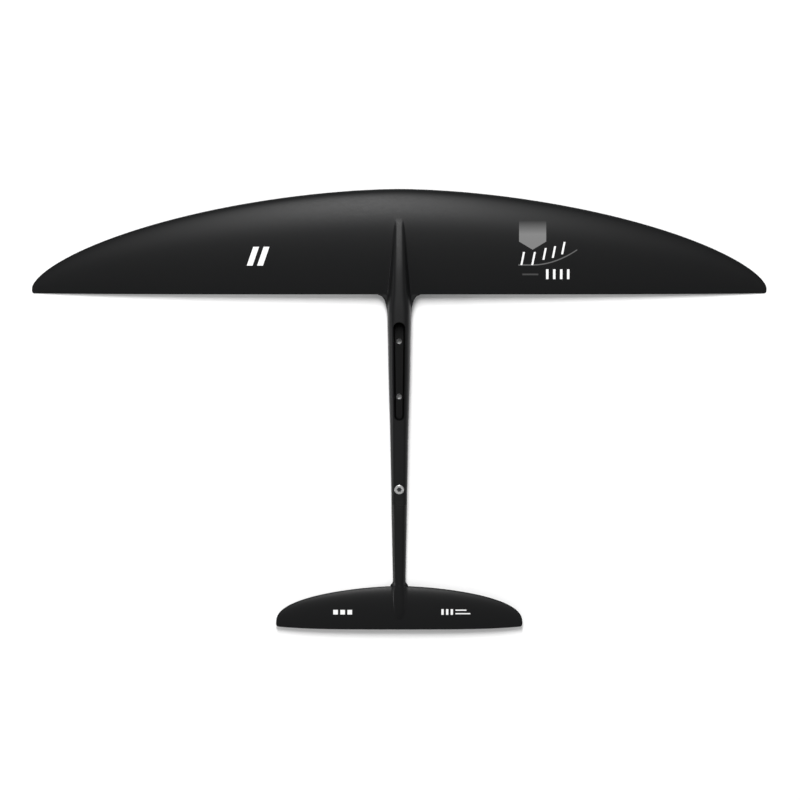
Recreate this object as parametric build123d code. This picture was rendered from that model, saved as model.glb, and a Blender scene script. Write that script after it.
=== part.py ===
from build123d import *
import math
import os

os.makedirs("parts", exist_ok=True)

# Hydrofoil plane: a front wing moulded in one with the front fuselage, and a tail fuselage moulded in
# one with the stabiliser. Millimetres. +X is the span, +Y points to the leading edge, +Z is up.
# The origin is on the floor of the mast pocket, halfway between its two screw holes.

# Front wing
HALF_SPAN = 569.5
WING_LE_Y = 278.3
WING_TE_Y = 115.2
WING_TIP_TE_ADVANCE = 2.2
WING_SWEEP = 152.3
WING_SWEEP_INNER = 1.738
WING_SWEEP_OUTER = 0.649
WING_Z = 4.0
WING_TIP_DROP = 20.0
WING_THICKNESS = 0.116
WING_CAMBER = 0.025
WING_STATIONS = (0.12, 0.25, 0.38, 0.5, 0.61, 0.71, 0.8, 0.87, 0.92, 0.955, 0.98, 0.993, 1.0)
WING_SKIN = 1.2
WING_CORE_END = 470.0
ROOT_HALF = 36.0
SPAR_HALF_LENGTH = 330.0
SPAR_WIDTH = 9.0
SPAR_CHORD_SHARE = 0.32

# Stabiliser
STAB_HALF_SPAN = 190.7
STAB_LE_Y = -335.8
STAB_TE_Y = -403.2
STAB_TIP_TE_ADVANCE = 4.6
STAB_SWEEP = 56.9
STAB_SWEEP_INNER = 1.643
STAB_SWEEP_OUTER = 0.418
STAB_Z = -1.0
STAB_TIP_DROP = 4.0
STAB_THICKNESS = 0.105
STAB_STATIONS = (0.15, 0.3, 0.45, 0.6, 0.72, 0.82, 0.9, 0.95, 0.98, 0.994, 1.0)
STAB_SKIN = 0.9
STAB_CORE_END = 145.0
STAB_ROOT_HALF = 14.0

TE_THICKNESS = 0.9
CAMBER_PEAK = 0.4
CORE_NOSE_SHARE = 0.035
CORE_TAIL_SHARE = 0.8

# Fuselage
SEAM_Y = -210.5
SEAM_GAP = 0.1
SHELL = 2.0
FRONT_CORE_Y = 150.0
# Stations along the front fuselage: y, half width, crest z, keel z, side exponent.
FRONT_STATIONS = (
    (240.0, 7.0, 15.0, 0.5, 2.0),
    (215.0, 8.0, 19.0, -1.9, 2.1),
    (185.0, 9.4, 22.0, -4.4, 2.2),
    (150.0, 12.0, 24.0, -7.6, 2.3),
    (125.0, 15.0, 24.8, -9.8, 2.5),
    (100.0, 17.8, 25.0, -12.0, 2.7),
    (76.0, 18.3, 24.7, -14.0, 2.9),
    (40.0, 17.5, 23.3, -15.6, 3.0),
    (0.0, 16.8, 21.0, -16.0, 3.0),
    (-45.0, 15.6, 18.3, -15.4, 3.0),
    (-95.0, 14.2, 15.5, -13.8, 3.0),
    (-150.0, 13.1, 12.8, -12.2, 3.0),
    (-210.5, 12.1, 10.5, -10.7, 3.0),
)
# Stations along the tail fuselage, on to the rounded end of its spine over the stabiliser.
TAIL_STATIONS = (
    (-210.5, 12.1, 10.5, -10.7, 2.8),
    (-255.0, 11.3, 9.1, -9.2, 2.8),
    (-300.0, 10.4, 7.6, -7.7, 2.8),
    (-334.0, 9.7, 6.4, -6.6, 2.8),
    (-350.0, 9.6, 5.7, -5.9, 2.6),
    (-366.0, 9.0, 4.7, -5.1, 2.4),
    (-378.0, 7.0, 3.5, -4.2, 2.2),
    (-385.0, 4.4, 2.3, -3.4, 2.0),
    (-388.5, 1.6, 0.9, -2.6, 2.0),
)
HULL_Z = 3.6
HULL_STEP = 12.0
HULL_FRONT_Y = 240.0
HULL_REAR_Y = -388.5
TAIL_HULL_Z = -0.7
FLARE_X = 33.0
FLARE_ROOT_X = 8.0
FLARE_END_X = 17.6
FLARE_END_Y = 77.0
FLARE_HALF_HEIGHT = 1.6
FLARE_GAP = 0.05
TAIL_CORE_END_Y = -345.0

# Mast pocket: a drafted slot with round ends
POCKET_FRONT_TOP = 71.5
POCKET_REAR_TOP = -81.4
POCKET_WIDTH_FRONT_TOP = 18.3
POCKET_WIDTH_REAR_TOP = 18.2
POCKET_FRONT_FLOOR = 69.0
POCKET_REAR_FLOOR = -76.8
POCKET_WIDTH_FRONT_FLOOR = 13.0
POCKET_WIDTH_REAR_FLOOR = 9.4
POCKET_TOP_Z = 22.0
POCKET_OVERRUN = 6.0
LINER = 1.8
LINER_FLOOR = 3.0
MAST_BLOCK_FRONT = 84.0
MAST_BLOCK_REAR = -92.0
MAST_HOLE_SPACING = 85.5
MAST_HOLE_R = 4.2
SEAT_R = 9.5
SEAT_INSET = 0.2
SEAT_HEIGHT = 8.0
SEAT_CONE_R = 8.3
SEAT_CONE_DEPTH = 4.1

# Tail joint
PLUG_FRONT_Y = -148.0
PLUG_REAR_Y = -262.0
PLUG_HALF_WIDTH = 7.2
PLUG_HALF_HEIGHT = 5.6
PLUG_Z = 0.2
PLUG_CORNER = 1.8
PLUG_TAPER = 1.0
SOCKET_CLEARANCE = 0.08
SOCKET_FRONT_Y = -136.0
SCREW_Y = -186.6
SCREW_HEAD_R = 7.2
SCREW_HEAD_HEIGHT = 3.6
SCREW_HEAD_TOP_Z = 12.0
SCREW_HEAD_ROUND = 0.9
SCREW_SOCKET_R = 3.9
SCREW_LOBE_R = 0.9
SCREW_LOBES = 6
SCREW_TIP_CHAMFER = 0.8
SCREW_SOCKET_DEPTH = 2.4
SCREW_SHANK_R = 4.0
SCREW_CLEARANCE_R = 4.4
SCREW_TIP_Z = -4.2
WASHER_R = 7.4
WASHER_HEIGHT = 1.2
WASHER_HOLE_R = 4.3
HEAD_BORE_R = 7.7
INSERT_R = 5.6
INSERT_HALF_HEIGHT = 4.8
INSERT_BORE_R = 4.05

# Lengths that only have to pass right through: the whole plane, and the fuselage's height.
FAR = 900.0
REACH = 60.0


def save(name, shape):
    """Write one named node."""
    export_step(shape, f"parts/{name}.step")


def lump(shapes):
    """Group separate solids of one node."""
    return Compound(children=list(shapes))


def along(stations, y):
    """Values at y, by a smooth monotone curve through the stations."""
    rows = sorted(stations)
    if y <= rows[0][0]:
        return rows[0][1:]
    if y >= rows[-1][0]:
        return rows[-1][1:]
    k = max(i for i in range(len(rows) - 1) if rows[i][0] <= y)
    values = []
    for column in range(1, len(rows[0])):
        steps = [rows[i + 1][0] - rows[i][0] for i in range(len(rows) - 1)]
        rises = [(rows[i + 1][column] - rows[i][column]) / steps[i] for i in range(len(steps))]
        slopes = []
        for i in (k, k + 1):
            if i == 0 or i == len(rows) - 1 or rises[i - 1] * rises[i] <= 0:
                slopes.append(0.0)
            else:
                slopes.append(2.0 * rises[i - 1] * rises[i] / (rises[i - 1] + rises[i]))
        t = (y - rows[k][0]) / steps[k]
        start = rows[k][column]
        end = rows[k + 1][column]
        value = start + (end - start) * t * t * (3.0 - 2.0 * t)
        value += steps[k] * t * (1.0 - t) * (slopes[0] * (1.0 - t) - slopes[1] * t)
        values.append(value)
    return tuple(values)


def even_spline(points):
    """Spline with evenly numbered knots, so that neighbouring sections share them."""
    last = len(points) - 1
    return Edge.make_spline(points, parameters=[i / last for i in range(last + 1)])


def half_thickness(share, ratio):
    """Half thickness over chord, of the four-digit aerofoil family."""
    poly = 0.2969 * math.sqrt(share) - 0.126 * share - 0.3516 * share**2
    poly += 0.2843 * share**3 - 0.1036 * share**4
    return 5.0 * ratio * poly


def camber_line(share, camber):
    """Camber over chord, of the four-digit aerofoil family."""
    p = CAMBER_PEAK
    if share < p:
        return camber / p**2 * (2.0 * p * share - share**2)
    return camber / (1.0 - p) ** 2 * (1.0 - 2.0 * p + 2.0 * p * share - share**2)


class Foil:
    """One lifting surface: plan form, droop and section."""

    def __init__(self, span, le, te, te_advance, sweep, inner, outer, z, drop, ratio, camber):
        self.span = span
        self.le_root = le
        self.te_root = te
        self.te_advance = te_advance
        self.sweep = sweep
        self.inner = inner
        self.outer = outer
        self.z_root = z
        self.drop = drop
        self.ratio = ratio
        self.camber = camber

    def leading(self, x):
        u = min(abs(x) / self.span, 1.0)
        return self.le_root - self.sweep * (1.0 - (1.0 - u**self.inner) ** self.outer)

    def trailing(self, x):
        u = min(abs(x) / self.span, 1.0)
        return self.te_root + self.te_advance * u**4

    def chord_z(self, x):
        return self.z_root - self.drop * (x / self.span) ** 2

    def surface(self, x, share, inset=0.0):
        """Upper and lower point at a share of the chord, drawn in by inset."""
        lead = self.leading(x)
        chord = lead - self.trailing(x)
        half = half_thickness(share, self.ratio) * chord + share * TE_THICKNESS / 2.0 - inset
        middle = self.chord_z(x) + camber_line(share, self.camber) * chord
        y = lead - share * chord
        return (x, y, middle + half), (x, y, middle - half)

    def section(self, x):
        """Closed outline of the aerofoil at one station of the span."""
        shares = [(1.0 - math.cos(math.pi * i / 13.0)) / 2.0 for i in range(14)]
        upper = [self.surface(x, s)[0] for s in reversed(shares)]
        lower = [self.surface(x, s)[1] for s in shares[1:]]
        skin = even_spline([Vector(*p) for p in upper + lower])
        edge = Edge.make_line(Vector(*lower[-1]), Vector(*upper[0]))
        return Wire([skin, edge])

    def core_section(self, x, inset):
        """Closed outline of the core at one station of the span."""
        span = CORE_TAIL_SHARE - CORE_NOSE_SHARE
        shares = [CORE_NOSE_SHARE + span * (i / 9.0) ** 1.5 for i in range(10)]
        upper = [Vector(*self.surface(x, s, inset)[0]) for s in shares]
        lower = [Vector(*self.surface(x, s, inset)[1]) for s in shares]
        return Wire(
            [
                even_spline(upper),
                Edge.make_line(upper[-1], lower[-1]),
                even_spline(list(reversed(lower))),
                Edge.make_line(lower[0], upper[0]),
            ]
        )

    def solid(self, stations):
        """Whole outer body, tip to tip."""
        right = [self.span * u for u in stations]
        xs = [-x for x in reversed(right)] + [0.0] + right
        return Solid.make_loft([self.section(x) for x in xs])

    def core(self, stations, end, inset):
        """Space inside the skins, from one core end to the other."""
        right = [self.span * u for u in stations if self.span * u < end - 12.0] + [end]
        xs = [-x for x in reversed(right)] + [0.0] + right
        return Solid.make_loft([self.core_section(x, inset) for x in xs])

    def under(self):
        """All the space under the chord surface, where the upper and lower mouldings meet."""
        half = self.span + REACH
        count = 24
        xs = [-half + 2.0 * half * i / count for i in range(count + 1)]
        top = Edge.make_spline([Vector(x, -FAR, self.chord_z(x)) for x in xs])
        left = Vector(xs[0], -FAR, self.chord_z(xs[0]))
        right = Vector(xs[-1], -FAR, self.chord_z(xs[-1]))
        low_left = Vector(xs[0], -FAR, -REACH)
        low_right = Vector(xs[-1], -FAR, -REACH)
        sides = [
            Edge.make_line(right, low_right),
            Edge.make_line(low_right, low_left),
            Edge.make_line(low_left, left),
        ]
        return extrude(Face(Wire([top] + sides)), 2.0 * FAR, dir=(0, 1, 0))


WING = Foil(
    HALF_SPAN,
    WING_LE_Y,
    WING_TE_Y,
    WING_TIP_TE_ADVANCE,
    WING_SWEEP,
    WING_SWEEP_INNER,
    WING_SWEEP_OUTER,
    WING_Z,
    WING_TIP_DROP,
    WING_THICKNESS,
    WING_CAMBER,
)
STAB = Foil(
    STAB_HALF_SPAN,
    STAB_LE_Y,
    STAB_TE_Y,
    STAB_TIP_TE_ADVANCE,
    STAB_SWEEP,
    STAB_SWEEP_INNER,
    STAB_SWEEP_OUTER,
    STAB_Z,
    STAB_TIP_DROP,
    STAB_THICKNESS,
    0.0,
)


def hull_section(stations, y, middle, inset):
    """Closed outline across the fuselage: rounded crest and keel that meet at the widest line."""
    width, crest, keel, power = along(stations, y)
    width -= inset
    count = 12
    edges = []
    for reach, turn in ((crest - inset - middle, 1.0), (keel + inset - middle, -1.0)):
        points = []
        for i in range(count + 1):
            u = turn * math.cos(math.pi * i / count)
            height = (1.0 - abs(u) ** power) ** 0.5 if 0 < i < count else 0.0
            points.append(Vector(width * u, y, middle + reach * height))
        edges.append(even_spline(points))
    return Wire(edges)


def hull(stations, y_front, y_rear, middle, inset=0.0):
    """Fuselage body from y_front back to y_rear, through evenly spaced sections."""
    count = max(4, round((y_front - y_rear) / HULL_STEP))
    ys = [y_front + (y_rear - y_front) * i / count for i in range(count + 1)]
    return Solid.make_loft([hull_section(stations, y, middle, inset) for y in ys])


def slab(y_low, y_high, half=FAR):
    """Box between two stations, to the same distance each side of the centre line."""
    return Pos(0, (y_low + y_high) / 2.0, 0) * Box(2.0 * half, y_high - y_low, 2.0 * FAR)


def beyond(x):
    """Everything to the right of x, or to the left of it where x is negative."""
    size = 2.0 * FAR
    return Pos(x + math.copysign(size / 2.0, x), 0, 0) * Box(size, size, size)


def drum(radius, y, z_low, z_high):
    """Upright cylinder on the centre line."""
    return Pos(0, y, (z_low + z_high) / 2.0) * Cylinder(radius, z_high - z_low)


def slot_outline(front, rear, front_width, rear_width, z):
    """Slot with round ends of two sizes, closed by its two common tangents."""
    r1 = front_width / 2.0
    r2 = rear_width / 2.0
    y1 = front - r1
    y2 = rear + r2
    lean = (r1 - r2) / (y1 - y2)
    side = math.sqrt(1.0 - lean * lean)
    a = Vector(r1 * side, y1 - r1 * lean, z)
    b = Vector(-r1 * side, y1 - r1 * lean, z)
    c = Vector(-r2 * side, y2 - r2 * lean, z)
    d = Vector(r2 * side, y2 - r2 * lean, z)
    return Wire(
        [
            Edge.make_three_point_arc(a, Vector(0, front, z), b),
            Edge.make_line(b, c),
            Edge.make_three_point_arc(c, Vector(0, rear, z), d),
            Edge.make_line(d, a),
        ]
    )


def pocket(grow, floor_z, top_z):
    """The mast's drafted slot, grown all round."""

    def level(z):
        t = z / POCKET_TOP_Z
        front = POCKET_FRONT_FLOOR + (POCKET_FRONT_TOP - POCKET_FRONT_FLOOR) * t + grow
        rear = POCKET_REAR_FLOOR + (POCKET_REAR_TOP - POCKET_REAR_FLOOR) * t - grow
        wide = POCKET_WIDTH_FRONT_FLOOR + (POCKET_WIDTH_FRONT_TOP - POCKET_WIDTH_FRONT_FLOOR) * t
        slim = POCKET_WIDTH_REAR_FLOOR + (POCKET_WIDTH_REAR_TOP - POCKET_WIDTH_REAR_FLOOR) * t
        return slot_outline(front, rear, wide + 2.0 * grow, slim + 2.0 * grow, z)

    return Solid.make_loft([level(floor_z), level(top_z)], ruled=True)


def plug_body(grow, y_front, y_rear):
    """The tapered tongue of the tail joint, grown all round."""
    faces = []
    for y in (y_rear, y_front):
        share = (y - PLUG_REAR_Y) / (PLUG_FRONT_Y - PLUG_REAR_Y)
        width = 2.0 * (PLUG_HALF_WIDTH + grow - PLUG_TAPER * share)
        height = 2.0 * (PLUG_HALF_HEIGHT + grow - PLUG_TAPER * share)
        place = Plane(origin=(0, y, PLUG_Z), x_dir=(1, 0, 0), z_dir=(0, 1, 0))
        faces.append(place * RectangleRounded(width, height, PLUG_CORNER + grow))
    return loft(faces, ruled=True)


def screw_holes(radius, z_low, z_high):
    """The two upright mast screw holes."""
    half = MAST_HOLE_SPACING / 2.0
    return drum(radius, half, z_low, z_high) + drum(radius, -half, z_low, z_high)


def root_fillets(hull_body):
    """Solid wedges that round the trailing edge into the fuselage sides."""
    low = WING_Z - FLARE_HALF_HEIGHT
    high = WING_TE_Y - FLARE_GAP
    corner = Vector(FLARE_X, high, low)
    end = Vector(FLARE_END_X, FLARE_END_Y, low)
    back = Vector(FLARE_ROOT_X, FLARE_END_Y, low)
    front = Vector(FLARE_ROOT_X, high, low)
    outline = Wire(
        [
            Edge.make_spline([corner, end], tangents=[Vector(-1, -0.12, 0), Vector(0, -1, 0)]),
            Edge.make_line(end, back),
            Edge.make_line(back, front),
            Edge.make_line(front, corner),
        ]
    )
    web = extrude(Face(outline), 2.0 * FLARE_HALF_HEIGHT, dir=(0, 0, 1)) - hull_body
    return [web, web.mirror(Plane.YZ)]


def front_outer():
    """Outside of the front moulding: wing and front fuselage."""
    return WING.solid(WING_STATIONS) + hull(FRONT_STATIONS, HULL_FRONT_Y, SEAM_Y, HULL_Z)


def tail_outer():
    """Outside of the tail moulding: tail fuselage and stabiliser."""
    body = hull(TAIL_STATIONS, SEAM_Y - SEAM_GAP, HULL_REAR_Y, TAIL_HULL_Z)
    return STAB.solid(STAB_STATIONS) + body


def spar_band():
    """Upright band that follows the thickest part of the wing."""
    count = 12
    lines = []
    for side in (SPAR_WIDTH / 2.0, -SPAR_WIDTH / 2.0):
        points = []
        for i in range(count + 1):
            x = SPAR_HALF_LENGTH * (2.0 * i / count - 1.0)
            chord = WING.leading(x) - WING.trailing(x)
            points.append(Vector(x, WING.leading(x) - SPAR_CHORD_SHARE * chord + side, -REACH))
        lines.append(points)
    front = Edge.make_spline(lines[0])
    rear = Edge.make_spline(list(reversed(lines[1])))
    right = Edge.make_line(lines[0][-1], lines[1][-1])
    left = Edge.make_line(lines[1][0], lines[0][0])
    return extrude(Face(Wire([front, right, rear, left])), 2.0 * REACH, dir=(0, 0, 1))


def mast_seats():
    """Two countersunk steel seats, let in from beneath."""
    seats = []
    for y in (MAST_HOLE_SPACING / 2.0, -MAST_HOLE_SPACING / 2.0):
        keel = along(FRONT_STATIONS, y)[2]
        low = keel + SEAT_INSET
        body = drum(SEAT_R, y, low, low + SEAT_HEIGHT)
        cone = Pos(0, y, low + SEAT_CONE_DEPTH / 2.0) * Cone(SEAT_CONE_R, MAST_HOLE_R, SEAT_CONE_DEPTH)
        seats.append(body - cone - drum(MAST_HOLE_R, y, -REACH, REACH))
    return seats


def seat_wells():
    """The wells that hold the steel seats, open beneath."""
    wells = []
    for y in (MAST_HOLE_SPACING / 2.0, -MAST_HOLE_SPACING / 2.0):
        keel = along(FRONT_STATIONS, y)[2]
        wells.append(drum(SEAT_R, y, -REACH, keel + SEAT_INSET + SEAT_HEIGHT))
    return wells[0] + wells[1]


def tail_screw():
    """Low-head screw with a six-lobe socket."""
    head_low = SCREW_HEAD_TOP_Z - SCREW_HEAD_HEIGHT
    head = drum(SCREW_HEAD_R, SCREW_Y, head_low, SCREW_HEAD_TOP_Z)
    head = fillet(head.edges().sort_by(Axis.Z)[-1], SCREW_HEAD_ROUND)
    socket_low = SCREW_HEAD_TOP_Z - SCREW_SOCKET_DEPTH
    socket = drum(SCREW_SOCKET_R - SCREW_LOBE_R, SCREW_Y, socket_low, REACH)
    for i in range(SCREW_LOBES):
        angle = 2.0 * math.pi * i / SCREW_LOBES
        reach = SCREW_SOCKET_R - SCREW_LOBE_R
        lobe = Pos(math.cos(angle) * reach, math.sin(angle) * reach, 0)
        socket += lobe * drum(SCREW_LOBE_R, SCREW_Y, socket_low, REACH)
    shank = drum(SCREW_SHANK_R, SCREW_Y, SCREW_TIP_Z, head_low)
    shank = chamfer(shank.edges().sort_by(Axis.Z)[0], SCREW_TIP_CHAMFER)
    return head - socket + shank




def front_piece():
    """Nodes of the front moulding."""
    outer = front_outer()
    under = WING.under()
    core = WING.core(WING_STATIONS, WING_CORE_END, WING_SKIN)
    space = hull(FRONT_STATIONS, FRONT_CORE_Y, SEAM_Y, HULL_Z, SHELL)
    band = spar_band()
    mast_void = pocket(0.0, 0.0, POCKET_TOP_Z + POCKET_OVERRUN)
    liner_body = pocket(LINER, -LINER_FLOOR, POCKET_TOP_Z + POCKET_OVERRUN)
    cavity = plug_body(SOCKET_CLEARANCE, PLUG_FRONT_Y + SOCKET_CLEARANCE, SEAM_Y - 1.0)
    head_low = SCREW_HEAD_TOP_Z - SCREW_HEAD_HEIGHT - WASHER_HEIGHT
    head_bore = drum(HEAD_BORE_R, SCREW_Y, head_low, REACH)
    bore = head_bore + drum(SCREW_CLEARANCE_R, SCREW_Y, 0.0, head_low + 1.0)
    holes = screw_holes(MAST_HOLE_R, -REACH, REACH)
    wells = seat_wells()

    skins = outer - core - space
    save("front_upper_skin", skins - under - mast_void - bore)
    save("front_lower_skin", (skins & under) - wells)
    save("wing_spar", core & band)
    halves = core - band
    save("wing_core_right", halves & beyond(ROOT_HALF))
    save("wing_core_left", halves & beyond(-ROOT_HALF))
    root = (core & slab(-FAR, FAR, half=ROOT_HALF)) + (space & slab(MAST_BLOCK_FRONT, FAR))
    save("wing_root_block", root - band)
    save("mast_pocket_liner", (liner_body & space) - mast_void - holes)
    block = space & slab(MAST_BLOCK_REAR, MAST_BLOCK_FRONT)
    save("mast_block", block - liner_body - holes - wells)
    save("mast_screw_seats", lump(mast_seats()))
    save("mid_fuselage_core", space & slab(SOCKET_FRONT_Y, MAST_BLOCK_REAR))
    save("tail_socket_block", (space & slab(SEAM_Y, SOCKET_FRONT_Y)) - cavity - bore)
    body = hull(FRONT_STATIONS, HULL_FRONT_Y, SEAM_Y, HULL_Z)
    save("root_fillets", lump(root_fillets(body)))


def tail_piece():
    """Nodes of the tail moulding."""
    outer = tail_outer()
    under = STAB.under()
    core = STAB.core(STAB_STATIONS, STAB_CORE_END, STAB_SKIN)
    space = hull(TAIL_STATIONS, SEAM_Y - SEAM_GAP, TAIL_CORE_END_Y, TAIL_HULL_Z, SHELL)
    plug = plug_body(0.0, PLUG_FRONT_Y, PLUG_REAR_Y)
    insert_bore = drum(INSERT_BORE_R, SCREW_Y, PLUG_Z - INSERT_HALF_HEIGHT, PLUG_Z + INSERT_HALF_HEIGHT)
    insert = drum(INSERT_R, SCREW_Y, PLUG_Z - INSERT_HALF_HEIGHT, PLUG_Z + INSERT_HALF_HEIGHT)
    clearance = drum(SCREW_CLEARANCE_R, SCREW_Y, 0.0, REACH)

    skins = outer - core - space
    save("tail_upper_skin", skins - under)
    save("tail_lower_skin", skins & under)
    save("tail_plug", plug - insert - clearance)
    save("tail_thread_insert", insert - insert_bore)
    save("stabiliser_core_right", core & beyond(STAB_ROOT_HALF))
    save("stabiliser_core_left", core & beyond(-STAB_ROOT_HALF))
    middle = core & slab(-FAR, FAR, half=STAB_ROOT_HALF)
    save("tail_fuselage_core", space + middle - plug)


def joint_hardware():
    """The tail screw and its washer."""
    head_low = SCREW_HEAD_TOP_Z - SCREW_HEAD_HEIGHT
    washer = drum(WASHER_R, SCREW_Y, head_low - WASHER_HEIGHT, head_low)
    save("tail_screw_washer", washer - drum(WASHER_HOLE_R, SCREW_Y, 0.0, REACH))
    save("tail_screw", tail_screw())


front_piece()
tail_piece()
joint_hardware()
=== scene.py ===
import math

import bmesh
import bpy
import numpy as np
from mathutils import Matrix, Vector


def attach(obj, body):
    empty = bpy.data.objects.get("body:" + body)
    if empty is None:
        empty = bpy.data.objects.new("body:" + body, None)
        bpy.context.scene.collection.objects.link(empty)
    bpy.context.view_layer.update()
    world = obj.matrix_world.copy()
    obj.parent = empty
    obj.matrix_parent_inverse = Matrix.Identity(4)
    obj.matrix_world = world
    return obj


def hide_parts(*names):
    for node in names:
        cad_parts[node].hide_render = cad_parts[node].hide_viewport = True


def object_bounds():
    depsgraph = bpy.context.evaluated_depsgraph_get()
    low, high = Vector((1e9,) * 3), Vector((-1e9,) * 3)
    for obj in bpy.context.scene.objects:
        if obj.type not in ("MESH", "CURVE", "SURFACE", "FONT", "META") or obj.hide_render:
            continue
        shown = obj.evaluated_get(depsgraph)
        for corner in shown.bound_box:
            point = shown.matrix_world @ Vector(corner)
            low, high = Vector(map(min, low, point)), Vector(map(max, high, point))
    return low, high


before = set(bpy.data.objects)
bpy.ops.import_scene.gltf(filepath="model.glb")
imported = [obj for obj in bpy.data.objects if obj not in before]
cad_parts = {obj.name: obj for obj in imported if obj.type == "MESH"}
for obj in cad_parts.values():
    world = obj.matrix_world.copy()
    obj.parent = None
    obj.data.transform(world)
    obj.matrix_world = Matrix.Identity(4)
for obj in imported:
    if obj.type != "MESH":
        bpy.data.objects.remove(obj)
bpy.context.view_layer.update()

# Every length below is in millimetres, in the CAD frame, and becomes metres in to_mesh().
# +X is the span, +Y points to the leading edge, +Z is up, and the mast pocket's floor is at z = 0.
MM = 0.001

# ------------------------------------------------------------------ driving dimensions
# Both lifting surfaces: camber's highest point as a share of the chord, and the tips' rounded corners
TE_THICKNESS = 0.9
CAMBER_PEAK = 0.4
TIP_ROUND = 4.0
WING_TE_Y = 115.2

# Seam between the front and the tail moulding
SEAM_Y = -210.5
SEAM_GAP = 0.1

# Centre strips, where the grids are as wide as the fuselage's root
CENTRE_HALF = 33.0
STAB_CENTRE_HALF = 14.0

# Ridge on the wing: where it starts, how soon it is whole, its flank's power and its foot's share
RIDGE_START_Y = 238.0
RIDGE_FADE = 14.0
RIDGE_POWER = 5.5
RIDGE_SOFT = 0.14

# Root behind the trailing edge: where the section is the fuselage's, and the lip at its side
SHOULDER_Y = 84.0
FLARE_END_Y = 77.0
LIP_RISE = 2.2
LIP_FADE = 12.0
LIP_POWER = 10.0

# Root of the stabiliser: where it flares out, its lip, its soft share and the end of its spine
STAB_FLARE_Y = -326.0
STAB_LIP = 0.6
STAB_SOFT = 0.45
STAB_FOOT = 1.45
SPINE_END_Y = -389.0
SPINE_FADE = 4.0

# Stations along the fuselage, front to rear: y, half width, crest z, keel z, side exponent
SEAM_STATION = (SEAM_Y, 12.1, 10.5, -10.7, 4.5)
FRONT_STATIONS = (
    (240.0, 7.0, 15.0, 0.5, 2.0),
    (231.0, 7.4, 17.2, -0.4, 2.0),
    (215.0, 8.0, 19.4, -1.9, 2.2),
    (185.0, 9.4, 22.4, -4.4, 2.6),
    (150.0, 12.0, 24.4, -7.6, 3.0),
    (125.0, 15.0, 24.8, -9.8, 3.4),
    (100.0, 17.6, 24.95, -12.0, 3.8),
    (76.0, 18.3, 24.7, -14.0, 4.2),
    (40.0, 17.5, 23.3, -15.6, 4.4),
    (0.0, 16.8, 21.0, -16.0, 4.5),
    (-45.0, 15.6, 18.3, -15.4, 4.5),
    (-95.0, 14.2, 15.5, -13.8, 4.5),
    (-150.0, 13.1, 12.8, -12.2, 4.5),
    SEAM_STATION,
)
TAIL_STATIONS = (
    SEAM_STATION,
    (-255.0, 11.3, 8.8, -9.2, 4.5),
    (-300.0, 10.4, 7.2, -7.7, 4.2),
    (-334.0, 9.7, 6.2, -6.6, 3.6),
    (-350.0, 9.6, 5.6, -5.9, 2.8),
    (-366.0, 8.8, 4.7, -5.1, 2.5),
    (-378.0, 6.8, 3.4, -4.2, 2.3),
    (-385.0, 4.2, 2.1, -3.2, 2.0),
    (SPINE_END_Y, 1.5, 0.2, -2.0, 2.0),
    (-404.0, 1.0, -3.0, 1.0, 2.0),
)
# y, half width of the ridge's steep flank, and of its soft foot, where it runs out on the wing
RIDGE_FOOT = (
    (240.0, 5.5, 11.0),
    (231.0, 6.5, 13.0),
    (215.0, 8.4, 16.0),
    (196.0, 10.6, 18.0),
    (176.0, 12.4, 19.5),
    (145.0, 15.4, 22.5),
    (115.0, 18.2, 27.0),
    (FLARE_END_Y, 21.0, CENTRE_HALF),
)
# y and half width of the front moulding, from the trailing edge to the straight fuselage side
FLARE = (
    (WING_TE_Y, CENTRE_HALF),
    (112.0, 26.8),
    (109.0, 24.4),
    (106.0, 22.7),
    (100.0, 20.8),
    (94.0, 19.6),
    (86.0, 18.7),
    (FLARE_END_Y, 18.3),
)

# Mast pocket, with its floor value then its top value, its screw holes and the tail screw's bore and head
POCKET_TOP_Z = 22.0
POCKET_FRONT = (69.0, 71.5)
POCKET_REAR = (-76.8, -81.4)
POCKET_WIDTH_FRONT = (13.0, 18.3)
POCKET_WIDTH_REAR = (9.4, 18.2)
HOLE_Y = 42.75
HOLE_R = 4.15
SEAT_R = 9.5
SEAT_HEIGHT = 8.0
SCREW_Y = -186.6
HEAD_BORE_R = 7.55
HEAD_BORE_Z = 7.2
# the socket's radius and rim height bound the painted shade in the tail screw's head
SOCKET_R = 4.2
SOCKET_RIM_Z = 11.7

# How far cutters run past the object, and the gap that they leave round a seat's top
CUT_REACH = 40.0
CUT_PLAY = 0.2

# Meshes: columns of half the centre strip and of one side, rows of the chord and of the fuselage, then
# the distance that merges points, the angle in degrees that makes an edge, and steps round a cutter
WING_GRID = (54, 90, 76, 170)
STAB_GRID = (30, 60, 72, 80)
MERGE = 0.0002
SHARP_ANGLE = 35.0
ARC_STEPS = 28
DRUM_SIDES = 64

# Printed marks, plain shapes where the real one has its prints. A row of bars is its count and pitch,
# then the first bar's centre, half sizes and lean.
BAR_ROWS = (
    (2, 16.0, -226.0, 174.0, 4.5, 14.5, 0.35),
    (2, 16.8, 190.7, 170.5, 1.5, 10.0, 0.2),
    (1, 0.0, 224.5, 177.5, 1.5, 9.0, 0.2),
    (1, 0.0, 239.0, 180.5, 1.5, 9.0, 0.2),
    (1, 0.0, 253.5, 186.5, 1.5, 9.5, 0.2),
    (4, 10.8, 228.8, 146.3, 1.9, 7.6, 0.0),
    (3, 11.0, -98.5, -376.3, 3.6, 3.6, 0.0),
    (3, 7.2, 67.0, -376.0, 1.8, 4.4, 0.0),
    (1, 0.0, 95.5, -373.2, 8.5, 0.9, 0.0),
    (1, 0.0, 98.5, -378.6, 11.5, 0.9, 0.0),
)
FINE_BAR = (202.6, 146.0, 12.4, 1.3)
PANEL = {"cx": 206.0, "half_x": 21.0, "low": 184.0, "rise": 0.6, "fade_low": 208.0, "fade_high": 229.0}
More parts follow.
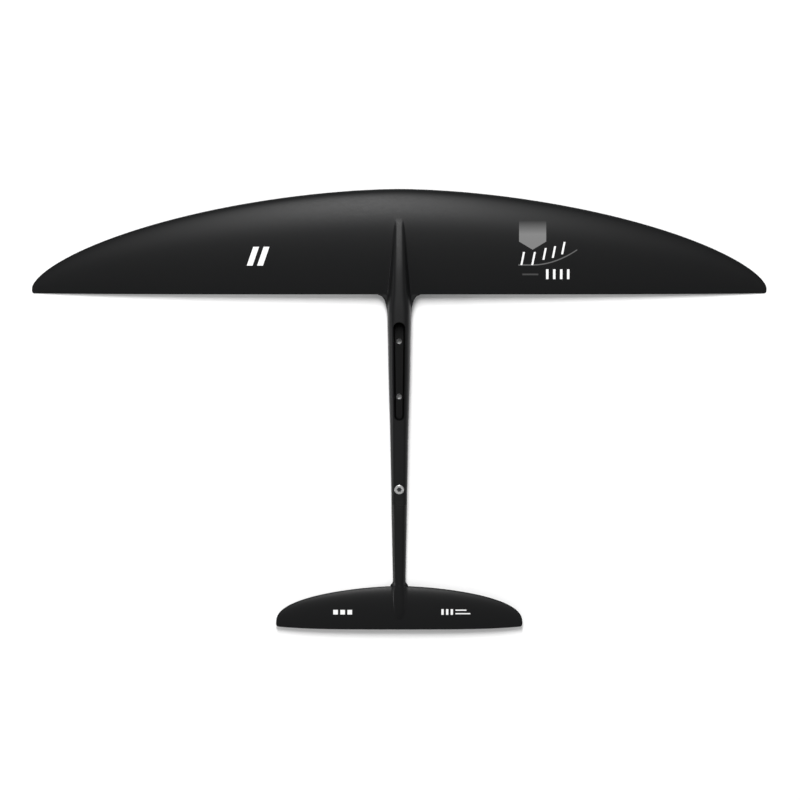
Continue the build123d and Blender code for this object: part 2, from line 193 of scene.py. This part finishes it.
ARC = {"start": 184.0, "end": 275.0, "base": 160.5, "bend_from": 205.0, "bend": 0.0048, "half_line": 0.9}

# Width of a tow, and the printed marks' greys
TOW = 1.15
PANEL_GREY, ARC_GREY, FINE_GREY, WHITE = 0.17, 0.11, 0.05, 0.8

# Studio, in metres and watts: name, place, size and power of each light, then the sky's strength, the
# floor, and the middle and width of the picture. The lens and sensor are in millimetres.
LIGHTS = (
    ("key_ahead", (-0.17, 1.7, 3.0), (0.7, 2.0), 114.0),
    ("rim_left", (-3.4, -0.8, 0.9), (0.5, 1.2), 42.0),
    ("rim_right", (3.4, -0.8, 0.9), (0.5, 1.2), 9.0),
)
SKY = 0.46
FLOOR_HALF = 12.0
FLOOR_GAP = 0.0002
PICTURE_CENTRE = (0.0012, -0.0481)
PICTURE_WIDTH = 1.2376
LENS, SENSOR = 200.0, 36.0


# ------------------------------------------------------------------ shape functions
def along(stations, y):
    """Each of the stations' values at y, by a smooth curve that rises or falls as they do."""
    rows = np.array(sorted(stations))
    y = np.clip(np.asarray(y, float), rows[0, 0], rows[-1, 0])
    step = np.diff(rows[:, 0])
    rise = np.diff(rows[:, 1:], axis=0) / step[:, None]
    slope = np.zeros_like(rows[:, 1:])
    inner = rise[:-1] * rise[1:]
    mean = 2.0 * inner / np.where(inner > 0, rise[:-1] + rise[1:], 1.0)
    slope[1:-1] = np.where(inner > 0, mean, 0.0)
    k = np.clip(np.searchsorted(rows[:, 0], y, side="right") - 1, 0, len(step) - 1)
    t = ((y - rows[k, 0]) / step[k])[..., None]
    a, b = rows[k, 1:], rows[k + 1, 1:]
    blend = t * t * (3.0 - 2.0 * t)
    bend = step[k][..., None] * t * (1.0 - t) * (slope[k] * (1.0 - t) - slope[k + 1] * t)
    values = a + (b - a) * blend + bend
    return [values[..., i] for i in range(values.shape[-1])]


class Foil:
    """One lifting surface. Its leading edge runs back by sweep at the tip, along a curve of the powers
    inner and outer, its trailing edge forward by te_advance, and its middle down by drop. ratio is the
    section's thickness and camber its greatest height, as shares of the chord."""

    def __init__(self, span, le, te, te_advance, sweep, inner, outer, z, drop, ratio, camber):
        self.span, self.le, self.te, self.te_advance = span, le, te, te_advance
        self.sweep, self.inner, self.outer = sweep, inner, outer
        self.z, self.drop, self.ratio, self.camber = z, drop, ratio, camber

    def corner(self, x):
        """0 along the span, rising to 1 over the tip's rounded corner."""
        return np.clip((np.abs(x) - self.span) / TIP_ROUND + 1.0, 0.0, 1.0)

    def leading(self, x):
        u = np.clip(np.abs(x) / self.span, 0.0, 1.0)
        return self.le - self.sweep * (1.0 - (1.0 - u**self.inner) ** self.outer)

    def trailing(self, x):
        u = np.clip(np.abs(x) / self.span, 0.0, 1.0)
        rounding = TIP_ROUND * (1.0 - np.sqrt(1.0 - self.corner(x) ** 2))
        return self.te + self.te_advance * u**4 + rounding

    def middle(self, x):
        return self.z - self.drop * (x / self.span) ** 2

    def faces(self, x, share):
        """y, upper z and lower z at a share of the chord, by the usual four-digit thickness form."""
        lead = self.leading(x)
        chord = lead - self.trailing(x)
        poly = 0.2969 * np.sqrt(share) - 0.126 * share - 0.3516 * share**2
        poly += 0.2843 * share**3 - 0.1036 * share**4
        half = 5.0 * self.ratio * poly * chord + share * TE_THICKNESS / 2.0
        half = half * np.sqrt(1.0 - self.corner(x) ** 2)
        p = CAMBER_PEAK
        ahead = (2.0 * p * share - share**2) / p**2
        behind = (1.0 - 2.0 * p + 2.0 * p * share - share**2) / (1.0 - p) ** 2
        line = self.middle(x) + self.camber * np.where(share < p, ahead, behind) * chord
        return lead - share * chord, line + half, line - half


WING = Foil(
    span=569.5, le=278.3, te=WING_TE_Y, te_advance=2.2, sweep=152.3, inner=1.738, outer=0.649,
    z=4.0, drop=20.0, ratio=0.116, camber=0.025,
)
STAB = Foil(
    span=190.7, le=-335.8, te=-403.2, te_advance=4.6, sweep=56.9, inner=1.643, outer=0.418,
    z=-1.0, drop=4.0, ratio=0.105, camber=0.0,
)


def ridge(x, y):
    """Ridge over the wing, 1 at the crest: broad crest, steep flank and a soft concave foot."""
    flank, foot = along(RIDGE_FOOT, y)
    steep = np.clip(1.0 - np.abs(x / flank) ** RIDGE_POWER, 0.0, 1.0) ** 2
    soft = np.clip(1.0 - (x / foot) ** 2, 0.0, 1.0) ** 2
    return (1.0 - RIDGE_SOFT) * steep + RIDGE_SOFT * soft


def bell(u):
    """Rounded crest with a concave foot that runs out flat at u = 1."""
    return np.clip(1.0 - u * u, 0.0, 1.0) ** 2


def barrel(u, power):
    """Fuselage side: full crest, upright at u = 1."""
    return np.sqrt(np.clip(1.0 - np.abs(u) ** power, 0.0, 1.0))


def soft_step(value):
    """Value where it is positive, easing to nothing below zero, in millimetres."""
    ease = 0.3
    return (value + np.sqrt(value * value + ease * ease)) / 2.0


def smooth(t):
    """From 0 to 1 as t goes from 0 to 1, level at both ends."""
    t = np.clip(t, 0.0, 1.0)
    return t * t * (3.0 - 2.0 * t)


def span_columns(foil, centre_half, centre_count, outer_count):
    """x of the columns, dense over the fuselage and towards the tips, then the columns of the centre
    strip, as shares of its half width and as a slice of the row."""
    sweep = 0.94 * math.pi / 2.0
    s = np.sin(np.linspace(-sweep, sweep, 2 * centre_count + 1)) / math.sin(sweep)
    t = np.linspace(0.0, 1.0, outer_count + 1)[1:]
    reach = foil.span - centre_half
    right = centre_half + reach * (1.0 - (1.0 - t) ** 1.9)
    x_row = np.concatenate([-right[::-1], centre_half * s, right])
    return x_row, s, slice(right.size, right.size + s.size)


def shares(count):
    """Shares of the chord, dense at both edges."""
    t = np.linspace(0.0, 1.0, count + 1)
    return (1.0 - np.cos(math.pi * t)) / 2.0


def centre_faces(foil, share, y):
    """Upper and lower z of the foil's centre section at y."""
    at, top, low = foil.faces(np.zeros_like(share), share)
    order = np.argsort(at[:, 0])
    at, top, low = (column[order, 0] for column in (at, top, low))
    return np.interp(y, at, top), np.interp(y, at, low)


def joined(ahead, behind, columns, surface_rows):
    """Two stretches of grids as one, and the cells that exist: the rows of the lifting surface are
    whole, and the others have the centre columns."""
    grids = [np.vstack(pair) for pair in zip(ahead, behind)]
    rows, cols = grids[0].shape
    cells = np.zeros((rows - 1, cols - 1), bool)
    cells[:, columns.start : columns.stop - 1] = True
    cells[surface_rows] = True
    return grids, cells


def front_grids():
    """Grids of the front moulding: x, y, top z, middle z, bottom z and the cells that exist."""
    centre_count, outer_count, chord_count, row_count = WING_GRID
    x_row, s, columns = span_columns(WING, CENTRE_HALF, centre_count, outer_count)

    f = shares(chord_count)[:, None]
    x1 = np.broadcast_to(x_row, (f.shape[0], x_row.size))
    y1, top1, low1 = WING.faces(x1, f)
    top_c, low_c = centre_faces(WING, f, y1)
    _, crest, keel, _ = along(FRONT_STATIONS, y1)
    shape = ridge(x1, y1) * smooth((RIDGE_START_Y - y1) / RIDGE_FADE)
    top1 = top1 + soft_step(crest - top_c) * shape
    low1 = low1 - soft_step(low_c - keel) * shape
    mid1 = WING.middle(x1)

    t = np.linspace(0.0, 1.0, row_count + 1)[1:]
    y_rows = (WING.te + (SEAM_Y - WING.te) * (0.55 * t + 0.45 * t**2))[:, None]
    width, crest, keel, power = along(FRONT_STATIONS, y_rows)
    (flare,) = along(FLARE, y_rows)
    edge = np.where(y_rows > FLARE_END_Y, flare, width)
    xc = edge * s
    out = smooth((y_rows - SHOULDER_Y) / (WING.te - SHOULDER_Y))
    shape = (1.0 - out) * barrel(xc / np.minimum(width, edge), power)
    shape = shape + out * ridge(xc, np.broadcast_to(y_rows, xc.shape))
    lip = (TE_THICKNESS / 2.0 + LIP_RISE * (1.0 - out)) * smooth((y_rows - FLARE_END_Y) / LIP_FADE)
    lip = lip * barrel(s[None, :], LIP_POWER)
    x2 = np.zeros((y_rows.shape[0], x_row.size))
    x2[:, columns] = xc
    y2 = np.broadcast_to(y_rows, x2.shape)
    mid2 = np.full_like(x2, WING.z)
    top2, low2 = mid2.copy(), mid2.copy()
    top2[:, columns] = WING.z + lip + (crest - WING.z - lip) * shape
    low2[:, columns] = WING.z - lip + (keel - WING.z + lip) * shape
    surface_rows = slice(0, f.shape[0] - 1)
    return joined((x1, y1, top1, mid1, low1), (x2, y2, top2, mid2, low2), columns, surface_rows)


def tail_grids():
    """Grids of the tail moulding, in the same order as front_grids()."""
    centre_count, outer_count, chord_count, row_count = STAB_GRID
    x_row, s, columns = span_columns(STAB, STAB_CENTRE_HALF, centre_count, outer_count)

    t = np.linspace(0.0, 1.0, row_count + 1)[:-1, None]
    front = SEAM_Y - SEAM_GAP
    y_edge = STAB.leading(STAB_CENTRE_HALF * s)[None, :]
    yc = front + (y_edge - front) * t
    width, crest, keel, power = along(TAIL_STATIONS, yc)
    out = smooth((STAB_FLARE_Y - yc) / (STAB_FLARE_Y - STAB.le))
    edge = width + (STAB_CENTRE_HALF - width) * out**2
    xc = edge * s[None, :]
    lip = STAB_LIP * out * barrel(s[None, :], LIP_POWER)
    body = barrel(xc / width, power) * (1.0 - STAB_SOFT * out) + STAB_SOFT * out * bell(xc / edge)
    x1 = np.zeros((t.shape[0], x_row.size))
    y1 = np.zeros_like(x1)
    x1[:, columns], y1[:, columns] = xc, yc
    mid1 = np.full_like(x1, STAB.z)
    top1, low1 = mid1.copy(), mid1.copy()
    top1[:, columns] = STAB.z + lip + (crest - STAB.z - lip) * body
    low1[:, columns] = STAB.z - lip + (keel - STAB.z + lip) * body

    f = shares(chord_count)[:, None]
    x2 = np.broadcast_to(x_row, (f.shape[0], x_row.size))
    y2, top2, low2 = STAB.faces(x2, f)
    top_c, low_c = centre_faces(STAB, f, y2)
    width, crest, keel, power = along(TAIL_STATIONS, y2)
    settle = smooth((y2 - SPINE_END_Y) / SPINE_FADE)
    foot = np.minimum(STAB_FOOT * width, STAB_CENTRE_HALF)
    shape = (1.0 - STAB_SOFT) * barrel(x2 / width, power) + STAB_SOFT * bell(x2 / foot)
    top2 = top2 + settle * soft_step(crest - top_c) * shape
    low2 = low2 - settle * soft_step(low_c - keel) * shape
    mid2 = STAB.middle(x2)
    surface_rows = slice(t.shape[0], None)
    return joined((x1, y1, top1, mid1, low1), (x2, y2, top2, mid2, low2), columns, surface_rows)


# ------------------------------------------------------------------ meshes
def to_mesh(name, points, faces):
    """Object with a clean closed mesh, in metres."""
    mesh = bpy.data.meshes.new(name)
    mesh.from_pydata([tuple(p) for p in np.asarray(points) * MM], [], faces)
    bm = bmesh.new()
    bm.from_mesh(mesh)
    bmesh.ops.remove_doubles(bm, verts=bm.verts, dist=MERGE * MM)
    bmesh.ops.dissolve_degenerate(bm, edges=bm.edges, dist=MERGE * MM)
    bmesh.ops.delete(bm, geom=[v for v in bm.verts if not v.link_faces], context="VERTS")
    bmesh.ops.recalc_face_normals(bm, faces=bm.faces)
    bm.to_mesh(mesh)
    bm.free()
    obj = bpy.data.objects.new(name, mesh)
    bpy.context.collection.objects.link(obj)
    return obj


def moulding(name, x, y, z_skin, z_mid, cells):
    """Closed solid between one skin and the middle surface where the two mouldings meet."""
    rows, cols = x.shape
    skin = np.stack([x, y, z_skin], -1).reshape(-1, 3)
    middle = np.stack([x, y, z_mid], -1).reshape(-1, 3)
    total = rows * cols
    faces = []
    edges = {}
    for r, c in zip(*np.nonzero(cells)):
        a = int(r * cols + c)
        ring = (a, a + 1, a + cols + 1, a + cols)
        faces.append(ring)
        faces.append(tuple(i + total for i in reversed(ring)))
        for p, q in zip(ring, ring[1:] + ring[:1]):
            if (q, p) in edges:
                del edges[(q, p)]
            else:
                edges[(p, q)] = True
    faces += [(q, p, p + total, q + total) for p, q in edges]
    return to_mesh(name, np.vstack([skin, middle]), faces)


def slot_outline(level):
    """Front end, rear end and both end radii of the mast slot: level 0 is its floor and 1 its top."""
    pairs = (POCKET_FRONT, POCKET_REAR, POCKET_WIDTH_FRONT, POCKET_WIDTH_REAR)
    front, rear, wide, slim = (low + (high - low) * level for low, high in pairs)
    return front, rear, wide / 2.0, slim / 2.0


def slot_ring(level):
    """Points round the mast slot at one level."""
    front, rear, r1, r2 = slot_outline(level)
    lean = math.asin((r1 - r2) / (front - r1 - rear - r2))
    front_end = (front - r1, r1, -lean, math.pi + 2.0 * lean)
    rear_end = (rear + r2, r2, math.pi + lean, math.pi - 2.0 * lean)
    ring = []
    for middle, r, start, turn in (front_end, rear_end):
        for i in range(ARC_STEPS + 1):
            angle = start + turn * i / ARC_STEPS
            ring.append((r * math.cos(angle), middle + r * math.sin(angle), POCKET_TOP_Z * level))
    return ring


def ring_solid(name, rings):
    """Closed solid through rings with equal point counts."""
    n = len(rings[0])
    points = [p for ring in rings for p in ring]
    faces = []
    for k in range(len(rings) - 1):
        for i in range(n):
            j = (i + 1) % n
            faces.append((k * n + i, k * n + j, (k + 1) * n + j, (k + 1) * n + i))
    faces.append(tuple(reversed(range(n))))
    faces.append(tuple((len(rings) - 1) * n + i for i in range(n)))
    return to_mesh(name, points, faces)


def drum(name, radius, y, low, high):
    """Upright cutter on the centre line."""
    angles = [2.0 * math.pi * i / DRUM_SIDES for i in range(DRUM_SIDES)]
    ring = [(radius * math.cos(a), y + radius * math.sin(a)) for a in angles]
    return ring_solid(name, [[(px, py, z) for px, py in ring] for z in (low, high)])


def cut(obj, cutters):
    """Takes the cutters out of the object, for good."""
    for cutter in cutters:
        step = obj.modifiers.new("cut", "BOOLEAN")
        step.operation = "DIFFERENCE"
        step.solver = "MANIFOLD"
        step.object = cutter
    bpy.context.view_layer.update()
    depsgraph = bpy.context.evaluated_depsgraph_get()
    mesh = bpy.data.meshes.new_from_object(obj.evaluated_get(depsgraph))
    obj.modifiers.clear()
    old = obj.data
    obj.data = mesh
    bpy.data.meshes.remove(old)


def shade(obj):
    """Smooth faces, with an edge where the surface turns sharply."""
    obj.data.shade_smooth()
    obj.data.set_sharp_from_angle(angle=math.radians(SHARP_ANGLE))


# ------------------------------------------------------------------ materials
class Nodes:
    """Small helper that builds a material's node tree."""

    def __init__(self, name, **fixed):
        self.material = bpy.data.materials.new(name)
        self.material.use_nodes = True
        self.tree = self.material.node_tree
        self.shader = self.tree.nodes["Principled BSDF"]
        for key, value in fixed.items():
            self.shader.inputs[key.replace("_", " ")].default_value = value

    def add(self, kind, **settings):
        node = self.tree.nodes.new(kind)
        for key, value in settings.items():
            setattr(node, key, value)
        return node

    def link(self, source, target):
        self.tree.links.new(source, target)

    def math(self, operation, a, b=None):
        node = self.add("ShaderNodeMath", operation=operation)
        for i, value in enumerate((a, b)):
            if isinstance(value, (int, float)):
                node.inputs[i].default_value = value
            elif value is not None:
                self.link(value, node.inputs[i])
        return node.outputs[0]

    def place(self):
        """The point in millimetres, in the row frame."""
        coords = self.add("ShaderNodeTexCoord")
        scale = self.add("ShaderNodeVectorMath", operation="SCALE")
        self.link(coords.outputs["Object"], scale.inputs[0])
        scale.inputs["Scale"].default_value = 1.0 / MM
        return scale.outputs[0]

    def parts(self, vector):
        """x, y and z of a vector."""
        split = self.add("ShaderNodeSeparateXYZ")
        self.link(vector, split.inputs[0])
        return tuple(split.outputs)

    def normal_z(self):
        """Height of the surface normal, 1 on a level face that looks up."""
        geometry = self.add("ShaderNodeNewGeometry")
        return self.parts(geometry.outputs["True Normal"])[2]

    def noise(self, vector, scale, detail=3.0):
        node = self.add("ShaderNodeTexNoise")
        node.inputs["Scale"].default_value = scale
        node.inputs["Detail"].default_value = detail
        self.link(vector, node.inputs["Vector"])
        return node.outputs["Fac"]

    def ramp(self, value, low, high, out_low, out_high):
        """The value's range from low to high, spread from out_low to out_high."""
        node = self.add("ShaderNodeMapRange")
        self.link(value, node.inputs[0])
        for i, v in enumerate((low, high, out_low, out_high)):
            node.inputs[i + 1].default_value = v
        return node.outputs[0]

    def colours(self, value, first, second):
        """First colour where the value is 0, second where it is 1."""
        node = self.add("ShaderNodeMix", data_type="RGBA")
        self.link(value, node.inputs[0])
        for slot, colour in ((6, first), (7, second)):
            if isinstance(colour, tuple):
                node.inputs[slot].default_value = (*colour, 1.0)
            else:
                self.link(colour, node.inputs[slot])
        return node.outputs[2]

    def bump(self, height, strength, distance):
        node = self.add("ShaderNodeBump")
        node.inputs["Strength"].default_value = strength
        node.inputs["Distance"].default_value = distance
        self.link(height, node.inputs["Height"])
        self.link(node.outputs[0], self.shader.inputs["Normal"])


def grey(value):
    """Colour with three equal parts."""
    return (value, value, value)


def twill(n, x, y, tow):
    """Two-by-two twill, mirrored at the centre line: 1 where the first tow is on top, and the crowns."""
    u = n.math("DIVIDE", n.math("ABSOLUTE", x), tow)
    v = n.math("DIVIDE", y, tow)
    step = n.math("SUBTRACT", n.math("FLOOR", v), n.math("FLOOR", u))
    over = n.math("LESS_THAN", n.math("FLOORED_MODULO", step, 4.0), 1.5)
    crowns = []
    for tows, on_top in ((u, over), (v, n.math("SUBTRACT", 1.0, over))):
        off = n.math("ABSOLUTE", n.math("SUBTRACT", n.math("FRACT", tows), 0.5))
        crown = n.math("SUBTRACT", 1.0, n.math("MULTIPLY", off, 2.0))
        crowns.append(n.math("MULTIPLY", on_top, crown))
    return over, n.math("ADD", *crowns)


def box_mark(n, x, y, cx, cy, half_x, half_y, lean=0.0):
    """Mask of a plain bar, leaning sideways by lean millimetres for each millimetre of y."""
    dx = n.math("SUBTRACT", x, cx)
    dy = n.math("SUBTRACT", y, cy)
    dx = n.math("SUBTRACT", dx, n.math("MULTIPLY", dy, lean))
    inside_x = n.math("LESS_THAN", n.math("ABSOLUTE", dx), half_x)
    inside_y = n.math("LESS_THAN", n.math("ABSOLUTE", dy), half_y)
    return n.math("MULTIPLY", inside_x, inside_y)


def arc_mark(n, x, y, start, end, base, bend_from, bend, half_line):
    """Mask of a thin line that runs level and then curves upwards."""
    run = n.math("MAXIMUM", n.math("SUBTRACT", x, bend_from), 0.0)
    line = n.math("ADD", n.math("MULTIPLY", n.math("MULTIPLY", run, run), bend), base)
    near = n.math("LESS_THAN", n.math("ABSOLUTE", n.math("SUBTRACT", y, line)), half_line)
    within = n.math("MULTIPLY", n.math("GREATER_THAN", x, start), n.math("LESS_THAN", x, end))
    return n.math("MULTIPLY", near, within)


def panel_mark(n, x, y, cx, half_x, low, rise, fade_low, fade_high):
    """Plain panel with a shallow pointed lower edge, fading out towards its upper edge."""
    off = n.math("ABSOLUTE", n.math("SUBTRACT", x, cx))
    inside = n.math("LESS_THAN", off, half_x)
    edge = n.math("ADD", n.math("MULTIPLY", off, rise), low)
    above = n.math("GREATER_THAN", y, edge)
    fade = n.ramp(y, fade_low, fade_high, 1.0, 0.0)
    return n.math("MULTIPLY", n.math("MULTIPLY", inside, above), fade)


def either(n, masks):
    """Mask that is set where any of the masks is."""
    total = masks[0]
    for mask in masks[1:]:
        total = n.math("MAXIMUM", total, mask)
    return total


def white_bars(n, x, y):
    """Mask of all the white bars."""
    return either(
        n,
        [
            box_mark(n, x, y, first + i * pitch, *bar)
            for count, pitch, first, *bar in BAR_ROWS
            for i in range(count)
        ],
    )


def carbon(name):
    """Satin clear coat over fine carbon twill, with plain printed marks."""
    n = Nodes(name, Specular_IOR_Level=0.16)
    vector = n.place()
    x, y, _ = n.parts(vector)
    over, crown = twill(n, x, y, TOW)
    cloud = n.noise(vector, 0.012)
    weave = n.colours(over, (0.0029, 0.003, 0.0032), (0.0055, 0.0057, 0.006))
    colour = n.colours(n.ramp(cloud, 0.3, 0.7, 0.0, 0.5), weave, (0.0038, 0.004, 0.0044))
    up = n.math("GREATER_THAN", n.normal_z(), 0.2)
    prints = (
        (panel_mark(n, x, y, **PANEL), PANEL_GREY),
        (arc_mark(n, x, y, **ARC), ARC_GREY),
        (box_mark(n, x, y, *FINE_BAR), FINE_GREY),
        (white_bars(n, x, y), WHITE),
    )
    for mask, tone in prints:
        colour = n.colours(n.math("MULTIPLY", mask, up), colour, grey(tone))
    n.link(colour, n.shader.inputs["Base Color"])
    scuff = n.noise(vector, 0.35, 6.0)
    rough = n.math("ADD", n.ramp(scuff, 0.3, 0.7, 0.33, 0.39), n.math("MULTIPLY", over, 0.03))
    n.link(rough, n.shader.inputs["Roughness"])
    n.bump(crown, 0.12, 0.00002)
    return n.material


def inner_carbon_shaded(name):
    """Matt moulded carbon of the pocket and the machined blocks; its darker colour is painted shade."""
    n = Nodes(name, Specular_IOR_Level=0.1)
    grain = n.noise(n.place(), 0.9, 8.0)
    # painted shade: these greys, darker than the skin's, darken the pocket's walls, floor and holes as
    # shade would
    n.link(n.colours(grain, grey(0.0012), grey(0.0035)), n.shader.inputs["Base Color"])
    n.link(n.ramp(grain, 0.3, 0.7, 0.5, 0.62), n.shader.inputs["Roughness"])
    n.bump(grain, 0.2, 0.00005)
    return n.material


def steel(name):
    """Turned stainless steel with fine rings round the screw's axis, and painted shade in its socket."""
    n = Nodes(name, Metallic=1.0)
    vector = n.place()
    x, y, z = n.parts(vector)
    dy = n.math("SUBTRACT", y, SCREW_Y)
    radius = n.math("SQRT", n.math("ADD", n.math("MULTIPLY", x, x), n.math("MULTIPLY", dy, dy)))
    wave = n.math("SINE", n.math("MULTIPLY", radius, 21.0))
    rings = n.math("ADD", n.math("MULTIPLY", wave, 0.5), 0.5)
    spots = n.noise(vector, 0.6, 6.0)
    metal = n.colours(spots, (0.42, 0.42, 0.43), (0.6, 0.6, 0.59))
    in_bore = n.math("LESS_THAN", radius, SOCKET_R)
    painted_socket_shade = n.math("MULTIPLY", in_bore, n.math("LESS_THAN", z, SOCKET_RIM_Z))
    # painted shade: near black in the screw head's socket, and on all steel within its radius below the
    # rim
    n.link(n.colours(painted_socket_shade, metal, (0.05, 0.05, 0.052)), n.shader.inputs["Base Color"])
    n.link(n.ramp(rings, 0.0, 1.0, 0.2, 0.32), n.shader.inputs["Roughness"])
    n.bump(rings, 0.08, 0.00002)
    return n.material


def foam(name):
    """Closed-cell foam of the cores."""
    n = Nodes(name, Roughness=0.85)
    cells = n.add("ShaderNodeTexVoronoi")
    cells.inputs["Scale"].default_value = 1.4
    n.link(n.place(), cells.inputs["Vector"])
    depth = cells.outputs["Distance"]
    n.link(n.colours(depth, (0.5, 0.42, 0.26), (0.8, 0.72, 0.52)), n.shader.inputs["Base Color"])
    n.bump(depth, 0.4, 0.0002)
    return n.material


def plain_floor(name):
    """Pale studio sweep with a very slight paper tooth."""
    n = Nodes(name, Roughness=0.9, Specular_IOR_Level=0.1)
    coords = n.add("ShaderNodeTexCoord")
    tooth = n.noise(coords.outputs["Object"], 40.0)
    n.link(n.colours(tooth, grey(0.93), grey(0.96)), n.shader.inputs["Base Color"])
    return n.material


# ------------------------------------------------------------------ build
def dress(obj, *materials):
    """Gives a moulding its materials, the first of them all over."""
    obj.data.materials.clear()
    for material in materials:
        obj.data.materials.append(material)
    for face in obj.data.polygons:
        face.material_index = 0


def inside_cut(face):
    """Whether a face lies on the wall or floor of the slot, a screw hole or the head's bore."""
    margin = 0.15  # by which a face's centre may stand outside the cut's own radius
    px, py, pz = (v / MM for v in face.center)
    front, rear, r1, r2 = slot_outline(min(max(pz / POCKET_TOP_Z, 0.0), 1.2))
    y1, y2 = front - r1, rear + r2
    along_slot = min(max(py, y2), y1)
    radius = r2 + (r1 - r2) * (along_slot - y2) / (y1 - y2)
    if pz > -0.1 and math.hypot(px, py - along_slot) < radius + margin:
        return True
    for hole_y in (HOLE_Y, -HOLE_Y):
        if math.hypot(px, py - hole_y) < SEAT_R + margin and pz < 0.1:
            return abs(face.normal.z) < 0.5 or pz > -10.0
    return math.hypot(px, py - SCREW_Y) < HEAD_BORE_R + margin and pz > 0.0


def build_front(outside, inside):
    """The front moulding's two halves, with the mast pocket, its screw holes and the head's bore.
    The faces of these cuts get the inside material, whose darker colour is painted shade."""
    (x, y, top, mid, low), cells = front_grids()
    upper = moulding("front_upper_moulding", x, y, top, mid, cells)
    lower = moulding("front_lower_moulding", x, y, low, mid, cells)
    slot = ring_solid("cut_slot", [slot_ring(level) for level in (0.0, 1.0, 1.25)])
    head = drum("cut_head", HEAD_BORE_R, SCREW_Y, HEAD_BORE_Z, CUT_REACH)
    holes = []
    for i, hole_y in enumerate((HOLE_Y, -HOLE_Y)):
        keel = float(along(FRONT_STATIONS, hole_y)[2])
        holes.append(drum(f"cut_hole_{i}", HOLE_R, hole_y, -CUT_REACH, 5.0))
        holes.append(drum(f"cut_well_{i}", SEAT_R, hole_y, keel - 6.0, keel + CUT_PLAY + SEAT_HEIGHT))
    cut(upper, [slot, head])
    cut(lower, [slot, *holes])
    for cutter in (slot, head, *holes):
        bpy.data.objects.remove(cutter)
    for piece in (upper, lower):
        dress(piece, outside, inside)
        for face in piece.data.polygons:
            if inside_cut(face):
                face.material_index = 1
        shade(piece)
        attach(piece, "plane")
    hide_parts("front_upper_skin", "root_fillets", "mast_pocket_liner")
    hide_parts("front_lower_skin")


def build_tail(outside):
    """The tail moulding's two halves."""
    (x, y, top, mid, low), cells = tail_grids()
    upper = moulding("tail_upper_moulding", x, y, top, mid, cells)
    lower = moulding("tail_lower_moulding", x, y, low, mid, cells)
    for piece in (upper, lower):
        dress(piece, outside)
        shade(piece)
        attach(piece, "plane")
    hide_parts("tail_upper_skin")
    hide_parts("tail_lower_skin")


def paint_cad(names, material):
    """Procedural material on CAD nodes that stay."""
    for name in names:
        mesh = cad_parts[name].data
        mesh.materials.clear()
        mesh.materials.append(material)


def soft_light(name, place, size, power):
    """Soft rectangular studio light, aimed at the object's origin."""
    data = bpy.data.lights.new(name, "AREA")
    data.shape = "RECTANGLE"
    data.size, data.size_y = size
    data.energy = power
    obj = bpy.data.objects.new(name, data)
    bpy.context.collection.objects.link(obj)
    obj.location = place
    obj.rotation_euler = (-Vector(place)).to_track_quat("-Z", "Y").to_euler()


def studio():
    """Pale floor, a soft key light from ahead of the wing, two low rim lights and an even dim sky."""
    low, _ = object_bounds()
    half, z = FLOOR_HALF, low.z - FLOOR_GAP
    corners = [(-half, -half, z), (half, -half, z), (half, half, z), (-half, half, z)]
    mesh = bpy.data.meshes.new("studio_floor")
    mesh.from_pydata(corners, [], [(0, 1, 2, 3)])
    floor = bpy.data.objects.new("studio_floor", mesh)
    bpy.context.collection.objects.link(floor)
    mesh.materials.append(plain_floor("floor_pale"))

    for light in LIGHTS:
        soft_light(*light)

    world = bpy.data.worlds.new("studio_world")
    world.use_nodes = True
    sky = world.node_tree.nodes["Background"]
    sky.inputs["Color"].default_value = (1.0, 1.0, 1.0, 1.0)
    sky.inputs["Strength"].default_value = SKY
    bpy.context.scene.world = world


def camera():
    """Straight down over the middle of the photograph, leading edge towards the top of the picture."""
    data = bpy.data.cameras.new("camera_top")
    data.lens = LENS
    data.sensor_width = SENSOR
    data.clip_end = 50.0
    obj = bpy.data.objects.new("camera_top", data)
    bpy.context.collection.objects.link(obj)
    obj.location = (*PICTURE_CENTRE, PICTURE_WIDTH * LENS / SENSOR)
    bpy.context.scene.camera = obj


carbon_material = carbon("carbon_satin")
inner_shade_material = inner_carbon_shaded("inner_carbon_shaded")
steel_material = steel("stainless_steel")
foam_material = foam("core_foam")

build_front(carbon_material, inner_shade_material)
build_tail(carbon_material)
STEEL_NODES = ("tail_screw", "tail_screw_washer", "mast_screw_seats", "tail_thread_insert")
LAMINATE_NODES = ("wing_spar", "wing_root_block", "mast_block", "tail_socket_block", "tail_plug")
CORE_NODES = (
    "wing_core_left",
    "wing_core_right",
    "mid_fuselage_core",
    "tail_fuselage_core",
    "stabiliser_core_left",
    "stabiliser_core_right",
)
paint_cad(STEEL_NODES, steel_material)
paint_cad(LAMINATE_NODES, inner_shade_material)
paint_cad(CORE_NODES, foam_material)
studio()
camera()
bpy.context.scene.view_settings.view_transform = "Standard"
